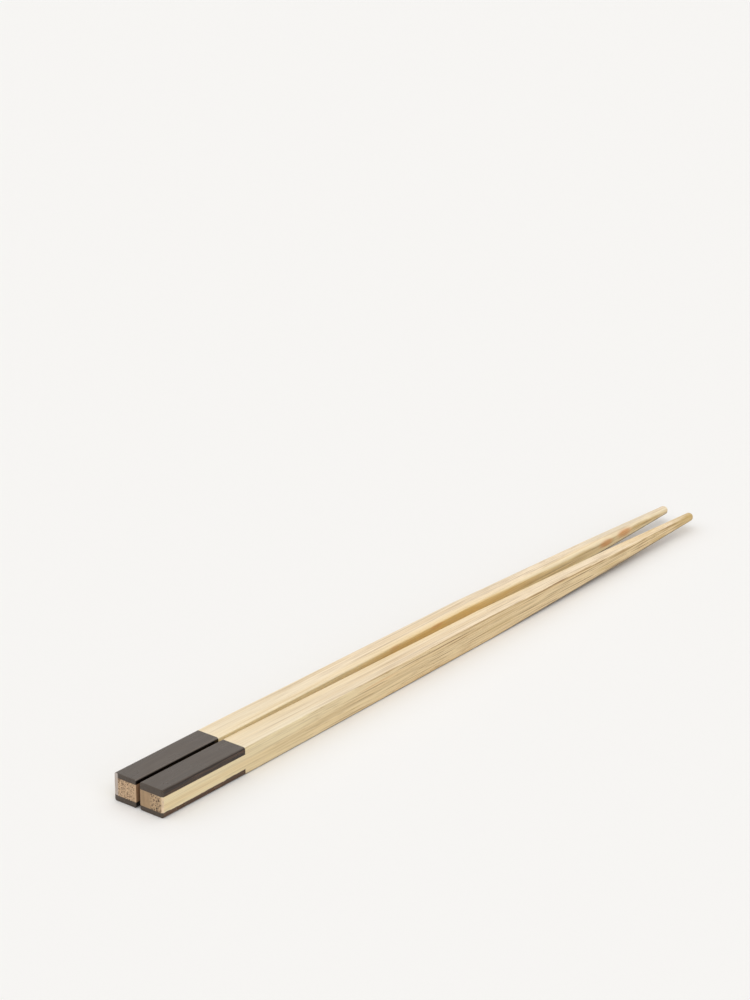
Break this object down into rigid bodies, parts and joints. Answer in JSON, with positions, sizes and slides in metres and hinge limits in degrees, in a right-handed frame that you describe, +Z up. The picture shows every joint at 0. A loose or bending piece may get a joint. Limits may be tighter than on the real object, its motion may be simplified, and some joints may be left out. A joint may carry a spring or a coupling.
{
  "type": "pair of bamboo chopsticks",
  "caption": "Pair of slim bamboo chopsticks, square at the handle and tapering to round blunt tips, with dark strips set flush into the handle ends.",
  "frame": {"origin": "on the table, under the middle of the pair's box", "axes": "+Y from the handle ends to the tips, +Z up from the table, +X across the pair to the right stick"},
  "size_m": [0.0158, 0.23, 0.0076],
  "materials": {
    "bamboo": "fine sanded, unvarnished",
    "dark_strip": "dark brown, satin"
  },
  "bodies": {
    "root": {"left_stick_body": "bamboo", "left_top_strip": "dark_strip", "left_bottom_strip": "dark_strip", "right_stick_body": "bamboo", "right_top_strip": "dark_strip", "right_bottom_strip": "dark_strip"}
  },
  "joints": []
}
